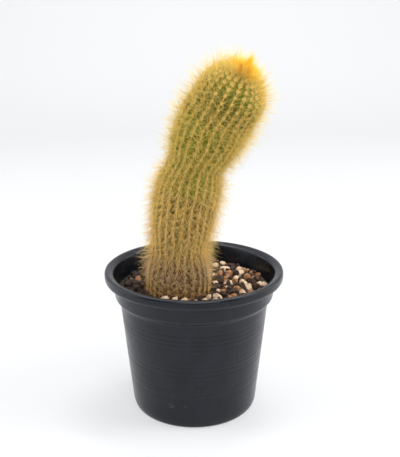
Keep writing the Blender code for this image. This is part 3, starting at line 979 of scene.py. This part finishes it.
class HAAGEO_OT_add_stage(bpy.types.Operator):
    """Adds the floor with its sweep, the lights and the camera."""

    bl_idname = "haageo.add_stage"
    bl_label = "Add Stage"

    def execute(self, context):
        settings = context.scene.haageo_stage
        self.add_floor(settings)
        for name, place, aim, size, power, lights, mirrors in STUDIO_LIGHTS:
            lamp = self.add_light(name, place, aim, size, power * settings.light_level)
            lamp.visible_diffuse = lights
            lamp.visible_glossy = mirrors
        self.add_camera(context.scene, settings)
        world = bpy.data.worlds.new("pale_room")
        world.use_nodes = True
        background = world.node_tree.nodes["Background"]
        background.inputs["Color"].default_value = ROOM_LIGHT
        background.inputs["Strength"].default_value = settings.sky
        context.scene.world = world
        context.scene.view_settings.view_transform = "Standard"
        return {"FINISHED"}

    def add_floor(self, settings):
        """A floor that sweeps up into a backdrop in one curve."""
        front, bend, radius, top, half = -0.35, 0.9, 0.5, 1.8, 2.6
        line = [(front, 0.0), (0.0, 0.0), (bend, 0.0)]
        for share in np.linspace(0.0, 1.0, 17)[1:]:
            angle = 0.5 * math.pi * share
            line.append((bend + radius * math.sin(angle), radius * (1.0 - math.cos(angle))))
        line.append((bend + radius, top))
        points = [(x, y, z) for y, z in line for x in (-half, half)]
        faces = [(2 * n, 2 * n + 1, 2 * n + 3, 2 * n + 2) for n in range(len(line) - 1)]
        mesh = bpy.data.meshes.new("studio_floor")
        mesh.from_pydata(points, [], faces)
        mesh.shade_smooth()
        mesh.materials.append(floor_sheet(settings))
        floor = bpy.data.objects.new("studio_floor", mesh)
        bpy.context.scene.collection.objects.link(floor)

    def add_light(self, name, place, aim, size, power):
        light = bpy.data.lights.new(name, "AREA")
        light.shape = "RECTANGLE"
        light.size, light.size_y = size
        light.energy = power
        lamp = bpy.data.objects.new(name, light)
        lamp.location = place
        lamp.rotation_euler = (Vector(aim) - Vector(place)).to_track_quat("-Z", "Y").to_euler()
        bpy.context.scene.collection.objects.link(lamp)
        return lamp

    def add_camera(self, scene, settings):
        data = bpy.data.cameras.new("camera")
        data.sensor_width = 36.0
        data.lens = settings.lens
        data.clip_start = 0.01
        camera = bpy.data.objects.new("camera", data)
        turn = Matrix.Rotation(0.5 * math.pi - settings.camera_pitch, 4, "X")
        roll = Matrix.Rotation(-settings.camera_roll, 4, "Z")
        camera.matrix_world = Matrix.Translation(settings.camera_place) @ turn @ roll
        scene.collection.objects.link(camera)
        scene.camera = camera


class HAAGEO_OT_add_pot(bpy.types.Operator):
    """Adds the black nursery pot with its rolled lip, moulded rings and drain holes."""

    bl_idname = "haageo.add_pot"
    bl_label = "Add Pot"

    def execute(self, context):
        settings = context.scene.haageo_pot
        outline = np.array(pot_outline(settings.groove_depth / MM)) * MM
        around = settings.sides
        angles = np.arange(around) * math.tau / around
        x = outline[:, :1] * np.cos(angles)
        y = outline[:, :1] * np.sin(angles)
        z = np.repeat(outline[:, 1:], around, axis=1)
        points = np.stack([x, y, z], axis=-1).reshape(-1, 3)
        faces = ring_faces(len(outline), around)
        pot = piece_from("nursery_pot", points, faces, black_plastic(settings), ("pot",))
        shell = bmesh.new()
        shell.from_mesh(pot.data)
        bmesh.ops.recalc_face_normals(shell, faces=shell.faces)
        shell.to_mesh(pot.data)
        shell.free()
        cut_drain_holes(pot)
        pot.data.shade_smooth()
        pot.data.set_sharp_from_angle(angle=math.radians(40))
        return {"FINISHED"}


def mix_height(x, y):
    """The uneven top of the mix, in metres: low waves, a low bank round the stem, and a mound before it."""
    wave = 0.5 * np.sin(x / 0.011 + 1.0) * np.cos(y / 0.013)
    wave = wave + 0.3 * np.sin(x / 0.0052) * np.sin(y / 0.0047 + 2.0)
    stem = np.hypot(x - MM * STATIONS_MM[0, 0], y - MM * STATIONS_MM[0, 1])
    bank = BANK_HEIGHT_MM * np.exp(-(((stem - BANK_RADIUS) / BANK_WIDTH) ** 2))
    mound = MOUND_HEIGHT_MM * np.exp(-(((y - MOUND_PLACE[1]) / MOUND_DEPTH) ** 2))
    mound = mound / (1.0 + ((x - MOUND_PLACE[0]) / MOUND_WIDTH) ** 4)
    return MM * (MIX_TOP_MM + 0.6 * wave + bank + mound)


class HAAGEO_OT_add_mix(bpy.types.Operator):
    """Adds the potting mix with its uneven top, and the dark crumbs that lie on it."""

    bl_idname = "haageo.add_mix"
    bl_label = "Add Potting Mix"

    def execute(self, context):
        settings = context.scene.haageo_mix
        surface = potting_mix(settings)
        self.add_filling(surface)
        self.add_crumbs(settings, surface)
        return {"FINISHED"}

    def add_filling(self, surface):
        """The mix down to the base of the pot, a small gap short of its wall."""
        gap = 0.3
        around = 120
        side = (
            (0.5, BASE_MM[1] + gap),
            (FOOT_RADIUS_MM - WALL_MM - INNER_CORNER_MM, BASE_MM[1] + gap),
            (FOOT_RADIUS_MM - WALL_MM - 0.1, BASE_MM[1] + INNER_CORNER_MM + 0.2),
            (WALL_TOP_MM[0] - WALL_MM - gap, WALL_TOP_MM[1]),
            (COLLAR_BOTTOM_MM[0] - WALL_MM - gap, COLLAR_BOTTOM_MM[1] + gap),
        )
        angles = np.arange(around) * math.tau / around
        rings = [level_ring(angles, 0.0, 0.0, height, radius) for radius, height in side]
        draw = np.random.RandomState(21)
        for radius in np.linspace(MM * MIX_RADIUS_MM, MM * 0.5, 62):
            x = radius * np.cos(angles)
            y = radius * np.sin(angles)
            height = mix_height(x, y) + draw.normal(0.0, 0.22 * MM, around)
            rings.append(np.stack([x, y, height], axis=-1))
        points = np.concatenate(rings)
        faces = ring_faces(len(rings), around)
        piece_from("potting_mix_fill", points, faces, surface, ("potting_mix",))

    def add_crumbs(self, settings, surface):
        """Crumbs over the whole top, only where no stone lies."""
        draw = np.random.RandomState(22)
        shape, faces = round_block(2)
        count = settings.crumb_count
        radius = CRUMB_REACH * np.sqrt(draw.uniform(0.0, 1.0, count))
        angle = draw.uniform(0.0, math.tau, count)
        x, y = radius * np.cos(angle), radius * np.sin(angle)
        centres, radii, _ = stone_bed(settings)
        apart = np.hypot(x[:, None] - centres[:, 0], y[:, None] - centres[:, 1])
        loose = np.all(apart > CRUMB_CLEARANCE * radii, axis=1)
        x, y, count = x[loose], y[loose], int(loose.sum())
        size = draw.uniform(0.5, 1.5, count) * MM
        stretch = draw.uniform(0.55, 1.3, (count, 1, 3)) * size[:, None, None]
        lumps = shape[None] * draw.uniform(0.75, 1.2, (count, len(shape), 1)) * stretch
        lumps = np.einsum("nij,nkj->nki", spin_matrices(draw, count, 0.6), lumps)
        centre = np.stack([x, y, mix_height(x, y) + draw.uniform(0.0, 1.6, count) * MM], axis=-1)
        points, faces = copies(lumps + centre[:, None], faces)
        piece_from("mix_crumbs", points, faces, surface)


# The stones that show best: x and y of the middle, radius, all in millimetres, and 0 pale, 1 tan, 2 dark
SHOWN_STONES = (
    (9.5, 13.0, 1.7, 0),
    (13.0, 3.0, 2.2, 0),
    (8.8, -5.5, 2.2, 0),
    (20.5, 7.0, 2.4, 1),
    (25.6, 8.5, 2.3, 1),
    (26.5, -5.5, 2.8, 1),
    (29.3, -14.5, 3.1, 0),
    (15.0, -9.5, 1.7, 0),
    (17.6, -11.0, 1.6, 1),
    (8.8, -20.5, 2.2, 0),
    (14.2, -20.0, 2.8, 0),
    (24.0, -18.0, 2.6, 1),
    (35.0, -19.5, 1.6, 0),
    (40.2, -19.0, 2.3, 0),
    (30.0, -26.0, 2.7, 0),
    (36.0, -25.5, 1.8, 0),
    (22.0, -28.0, 2.6, 0),
    (12.8, -29.6, 2.5, 0),
    (7.2, -33.0, 2.2, 0),
    (6.6, -26.9, 1.4, 1),
    (1.5, -32.6, 1.4, 0),
    (-2.0, -31.2, 1.6, 1),
    (-5.2, -33.6, 2.4, 0),
    (-11.2, -32.4, 2.3, 0),
    (-17.4, -31.2, 2.9, 0),
    (-30.5, -21.0, 2.2, 2),
    (-33.0, -14.0, 2.0, 2),
)


def stone_bed(settings):
    """Centres, radii and kinds of all stones: the shown ones, then random ones settled among them."""
    draw = np.random.RandomState(31)
    stem = STATIONS_MM[0, :2] * MM
    stem_radius = STATIONS_MM[0, 3] * MM
    centres, radii, kinds = [], [], []

    def resting_height(x, y, radius):
        height = float(mix_height(np.array(x), np.array(y))) + STONE_SITS * radius
        for centre, other in zip(centres, radii):
            gap = math.hypot(x - centre[0], y - centre[1])
            reach = STONE_NEARNESS * (radius + other)
            if gap < reach:
                height = max(height, centre[2] + STONE_CLIMBS * math.sqrt(reach**2 - gap**2))
        return height

    def touches_pale(x, y, radius):
        for centre, other, kind in zip(centres, radii, kinds):
            if kind == 0 and math.hypot(x - centre[0], y - centre[1]) < 1.1 * (radius + other):
                return True
        return False

    def settle(x, y, radius, kind):
        centres.append((x, y, resting_height(x, y, radius)))
        radii.append(radius)
        kinds.append(kind)

    for x, y, radius, kind in SHOWN_STONES:
        settle(MM * x, MM * y, MM * radius, kind)
    for number in range(settings.stone_count):
        share = number / max(settings.stone_count, 1)
        radius = settings.stone_most + (settings.stone_least - settings.stone_most) * share**0.7
        best = None
        for _ in range(STONE_TRIES):
            reach = MM * STONE_REACH_MM - radius
            distance = reach * math.sqrt(draw.uniform())
            angle = draw.uniform(0.0, math.tau)
            x, y = distance * math.cos(angle), distance * math.sin(angle)
            if math.hypot(x - stem[0], y - stem[1]) < stem_radius + 0.7 * radius:
                continue
            height = resting_height(x, y, radius)
            if best is None or height < best[2]:
                best = (x, y, height)
        if best is None or best[2] + radius > MM * STONE_CEILING_MM:
            continue
        chance = draw.uniform() + 0.6 * touches_pale(best[0], best[1], radius)
        # Fewer pale and tan stones to the left: partly the mix's own look, partly painted shade for the
        # stem's shadow.
        pale_share = np.interp(best[0], lengths(*SIDES_MM), PALE_SHARE)
        tan_share = np.interp(best[0], lengths(*SIDES_MM), TAN_SHARE)
        kind = 0 if chance < pale_share else 1 if chance < pale_share + tan_share else 2
        settle(best[0], best[1], radius, kind)
    return np.array(centres), np.array(radii), np.array(kinds)


def stone_shapes(draw, radii):
    """Rounded, blocky stones: squashed balls with a few flattened sides."""
    shape, faces = round_block(4)
    count = len(radii)
    stones = np.repeat(shape[None], count, axis=0)
    for _ in range(9):
        facing = unit(draw.normal(0.0, 1.0, (count, 1, 3)))
        depth = draw.uniform(0.62, 0.9, (count, 1))
        over = np.maximum(np.einsum("nki,nji->nk", stones, facing) - depth, 0.0)
        stones = stones - 0.82 * over[..., None] * facing
    wobble = np.zeros((count, len(shape)))
    for _ in range(4):
        wave = draw.normal(0.0, 2.6, (count, 1, 3))
        phase = draw.uniform(0.0, math.tau, (count, 1))
        wobble += 0.03 * np.sin(np.einsum("nki,nji->nk", stones, wave) + phase)
    stones = stones * (1.0 + wobble[..., None])
    squash = np.stack([draw.uniform(low, high, count) for low, high in STONE_SQUASH], axis=-1)
    stones = stones * squash[:, None] * radii[:, None, None]
    return np.einsum("nij,nkj->nki", spin_matrices(draw, count, 0.45), stones), faces


class HAAGEO_OT_add_stones(bpy.types.Operator):
    """Adds the pale pumice, the tan stones and the dark lumps of bark that dress the mix."""

    bl_idname = "haageo.add_stones"
    bl_label = "Add Stones"

    def execute(self, context):
        settings = context.scene.haageo_mix
        centres, radii, kinds = stone_bed(settings)
        draw = np.random.RandomState(32)
        shapes, faces = stone_shapes(draw, radii)
        tones = draw.uniform(0.0, 1.0, len(radii))
        surfaces = (
            stone_surface("pale_pumice", settings.pumice, settings.pumice_deep, 0.7),
            stone_surface("tan_lava", settings.lava, settings.lava_deep, 0.5),
            stone_surface("dark_bark", settings.bark, settings.bark_deep, 0.6),
        )
        for kind, name in enumerate(("pale_stones", "tan_stones", "bark_lumps")):
            chosen = kinds == kind
            points, joined_faces = copies(shapes[chosen] + centres[chosen][:, None], faces)
            values = {"tone": np.repeat(tones[chosen], shapes.shape[1])}
            piece_from(name, points, joined_faces, surfaces[kind], ("grit",), values)
        return {"FINISHED"}


class HAAGEO_OT_add_stem(bpy.types.Operator):
    """Adds the ribbed skin of the stem, down to its rooted foot in the mix."""

    bl_idname = "haageo.add_stem"
    bl_label = "Add Stem"

    def execute(self, context):
        settings = context.scene.haageo_stem
        rows = StemRows(settings)
        around = settings.rib_count * 10
        angles = np.arange(around) * math.tau / around
        trunk = np.linspace(0.0, LAST_STATION, 190)
        dome = np.linspace(LAST_STATION, LAST_STATION + 1, 34)[1:]
        steps = np.concatenate([trunk, dome])
        step_grid, angle_grid = np.meshgrid(steps, angles, indexing="ij")
        skin = ribbed_surface(step_grid, angle_grid, rows, settings)
        root = np.concatenate([level_ring(angles, *station) for station in ROOT_MM])
        none = np.zeros(len(root))
        points = np.concatenate([root, skin.reshape(-1, 3)])
        growth = np.concatenate([none, rows.growth_at(step_grid).ravel()])
        crest = np.concatenate([none, (0.5 + 0.5 * np.cos(rows.ribs * angle_grid)).ravel()])
        faces = ring_faces(len(ROOT_MM) + len(steps), around)
        values = {"growth": growth, "crest": crest}
        piece_from("stem_skin", points, faces, cactus_skin(settings), ("stem",), values)
        return {"FINISHED"}


class HAAGEO_OT_add_areoles(bpy.types.Operator):
    """Adds the woolly cushion of every areole."""

    bl_idname = "haageo.add_areoles"
    bl_label = "Add Areoles"

    def execute(self, context):
        colours = context.scene.haageo_spines
        settings = context.scene.haageo_stem
        areoles = areole_places(settings)
        draw = np.random.RandomState(41)
        shape, faces = round_block(2)
        count = len(areoles.step)
        size = MM * np.interp(areoles.growth, AREOLE_STOPS, AREOLE_RADII_MM)
        size = size * draw.uniform(0.85, 1.15, count)
        lumps = shape[None] * draw.uniform(0.85, 1.12, (count, len(shape), 1)) * size[:, None, None]
        points = areoles.point[:, None] + lumps[..., :1] * areoles.side[:, None]
        points = points + 1.1 * lumps[..., 1:2] * areoles.up[:, None]
        points = points + 0.6 * lumps[..., 2:] * areoles.out[:, None]
        flat, joined_faces = copies(points, faces)
        values = {"growth": np.repeat(areoles.growth, len(shape))}
        surface = wool("areole_wool", colours.wool_young, colours.wool_old)
        piece_from("areole_wool", flat, joined_faces, surface, (), values)
        return {"FINISHED"}


# Pieces of spines: name, and where each starts and ends on the way from the mix to the tip
STRETCHES = (
    ("foot_spines", 0.0, 0.2),
    ("lower_spines", 0.2, 0.48),
    ("upper_spines", 0.48, 0.76),
    ("top_spines", 0.76, 1.01),
)


class HAAGEO_OT_add_spines(bpy.types.Operator):
    """Adds the golden spines of every areole, in a piece for each stretch of the stem."""

    bl_idname = "haageo.add_spines"
    bl_label = "Add Spines"

    def execute(self, context):
        settings = context.scene.haageo_spines
        areoles = areole_places(context.scene.haageo_stem)
        draw = np.random.RandomState(51)
        colours = (settings.young, settings.old, settings.tip, settings.pale, settings.root)
        surface = spine_horn("golden_spines", *colours)
        for name, low, high in STRETCHES:
            near = areoles.chosen((areoles.growth >= low) & (areoles.growth < high))
            spines = joined(FLAT_SPRAY.spines(near, draw), RAISED_SPRAY.spines(near, draw))
            spine_piece(name, spines, surface)
        spine_piece("tuft_spines", TUFT_SPRAY.spines(areoles, draw), surface)
        spine_piece("long_spines", LONG_SPRAY.spines(areoles, draw), surface)
        return {"FINISHED"}


class HAAGEO_OT_add_crown(bpy.types.Operator):
    """Adds the woolly growing tip and its tuft of orange-golden young spines."""

    bl_idname = "haageo.add_crown"
    bl_label = "Add Crown"

    def execute(self, context):
        settings = context.scene.haageo_crown
        rows = StemRows(context.scene.haageo_stem)
        step, angle = LAST_STATION + TUFT_SPOT[0], math.radians(TUFT_SPOT[1])
        spot = SkinPlaces(rows, np.array([step]), np.array([angle]))
        self.place, self.along, self.side, self.back = spot.point[0], spot.out[0], spot.side[0], spot.up[0]
        self.add_wool(settings)
        draw = np.random.RandomState(62)
        mantle = self.mantle(rows, settings, draw)
        core = self.core(settings, draw)
        gold = settings.gold
        surface = spine_horn("orange_tuft", settings.orange, gold, gold, gold, settings.orange)
        spine_piece("crown_spines", joined(mantle, core), surface, ("crown_tuft",))
        return {"FINISHED"}

    def add_wool(self, settings):
        """The felted cushion that the young spines push through."""
        shape, faces = round_block(5)
        draw = np.random.RandomState(61)
        lumps = shape * (1.0 + 0.05 * np.sin(9.0 * shape[:, :1] + 7.0 * shape[:, 1:2]))
        lumps = MM * (lumps + draw.normal(0.0, 0.012, shape.shape)) * CROWN_WOOL_MM
        points = self.place + lumps[:, :1] * self.side + lumps[:, 1:2] * self.back + lumps[:, 2:] * self.along
        surface = wool("crown_wool", settings.gold, settings.gold, settings.orange)
        values = {"growth": np.ones(len(points))}
        piece_from("crown_wool", points, faces.tolist(), surface, ("crown_tuft",), values)

    def mantle(self, rows, settings, draw):
        """Golden spines over the dome round the tip, thinning out down the dome."""
        count = settings.mantle_count
        step = LAST_STATION + 1.0 - MANTLE_REACH * draw.uniform(0.0, 1.0, count) ** 1.2
        places = SkinPlaces(rows, step, draw.uniform(0.0, math.tau, count))
        points, _, tint = MANTLE_SPRAY.spines(places, draw)
        near = np.clip((step - LAST_STATION - 1.0 + MANTLE_REACH) / MANTLE_REACH, 0.0, 1.0)
        growth = np.clip(0.15 + 0.5 * near + draw.normal(0.0, 0.08, count), 0.15, 1.0)
        return points, growth, 0.6 * tint

    def core(self, settings, draw):
        """The orange tuft at the tip, drawn up into a point."""
        count = settings.spine_count
        share = np.sqrt((np.arange(count) + 0.5) / count)
        turn = np.arange(count) * math.pi * (3.0 - math.sqrt(5.0))
        across = np.cos(turn)[:, None] * self.side + np.sin(turn)[:, None] * self.back
        tilt = np.radians(TUFT_TILT * share**1.3 + draw.normal(0.0, 8.0, count))
        direction = np.cos(tilt)[:, None] * self.along + np.sin(tilt)[:, None] * across
        roots = self.place + MM * TUFT_RADIUS_MM * share[:, None] * across
        roots = roots + MM * (1.4 - 1.6 * share**2)[:, None] * self.along
        length = settings.length * draw.uniform(0.65, 1.1, count)
        spike = np.arange(0, count, SPIKE_EVERY)
        _, _, stem_along, stem_side, _ = stem_section(np.array([LAST_STATION + 1.0]))
        point = unit(stem_along - 0.1 * stem_side)
        roots[spike] = self.place + 0.35 * (roots[spike] - self.place)
        direction[spike] = unit(point + draw.normal(0.0, 0.09, (len(spike), 3)))
        length[spike] = settings.spike_length * draw.uniform(0.7, 1.05, len(spike))
        bends = draw.normal(0.0, 0.06, (count, 3)) * length[:, None]
        points = spine_points(roots, unit(direction), bends, length, MM * draw.uniform(0.14, 0.24, count))
        growth = np.clip(1.15 - 0.7 * share + draw.normal(0.0, 0.08, count), 0.15, 1.0)
        return points, growth, 0.3 * draw.uniform(0.0, 1.0, count)


class HAAGEO_PT_panel(bpy.types.Panel):
    """Lists the operators and their settings."""

    bl_idname = "HAAGEO_PT_panel"
    bl_label = "Potted Haageocereus"
    bl_space_type = "VIEW_3D"
    bl_region_type = "UI"
    bl_category = "Cactus"

    def draw(self, context):
        for operator in OPERATORS:
            self.layout.operator(operator.bl_idname)
        for key, group in SETTINGS.items():
            box = self.layout.box()
            values = getattr(context.scene, key)
            for name in group.__annotations__:
                box.prop(values, name)


OPERATORS = (
    HAAGEO_OT_add_stage,
    HAAGEO_OT_add_pot,
    HAAGEO_OT_add_mix,
    HAAGEO_OT_add_stones,
    HAAGEO_OT_add_stem,
    HAAGEO_OT_add_areoles,
    HAAGEO_OT_add_spines,
    HAAGEO_OT_add_crown,
)
SETTINGS = {
    "haageo_stage": HAAGEO_StageSettings,
    "haageo_pot": HAAGEO_PotSettings,
    "haageo_mix": HAAGEO_MixSettings,
    "haageo_stem": HAAGEO_StemSettings,
    "haageo_spines": HAAGEO_SpineSettings,
    "haageo_crown": HAAGEO_CrownSettings,
}


def register():
    for group in SETTINGS.values():
        bpy.utils.register_class(group)
    for key, group in SETTINGS.items():
        setattr(bpy.types.Scene, key, PointerProperty(type=group))
    for operator in OPERATORS:
        bpy.utils.register_class(operator)
    bpy.utils.register_class(HAAGEO_PT_panel)


def unregister():
    bpy.utils.unregister_class(HAAGEO_PT_panel)
    for operator in reversed(OPERATORS):
        bpy.utils.unregister_class(operator)
    for key, group in SETTINGS.items():
        delattr(bpy.types.Scene, key)
        bpy.utils.unregister_class(group)


def main():
    register()
    bpy.ops.haageo.add_stage()
    bpy.ops.haageo.add_pot()
    bpy.ops.haageo.add_mix()
    bpy.ops.haageo.add_stones()
    bpy.ops.haageo.add_stem()
    bpy.ops.haageo.add_areoles()
    bpy.ops.haageo.add_spines()
    bpy.ops.haageo.add_crown()


if __name__ == "__main__":
    main()
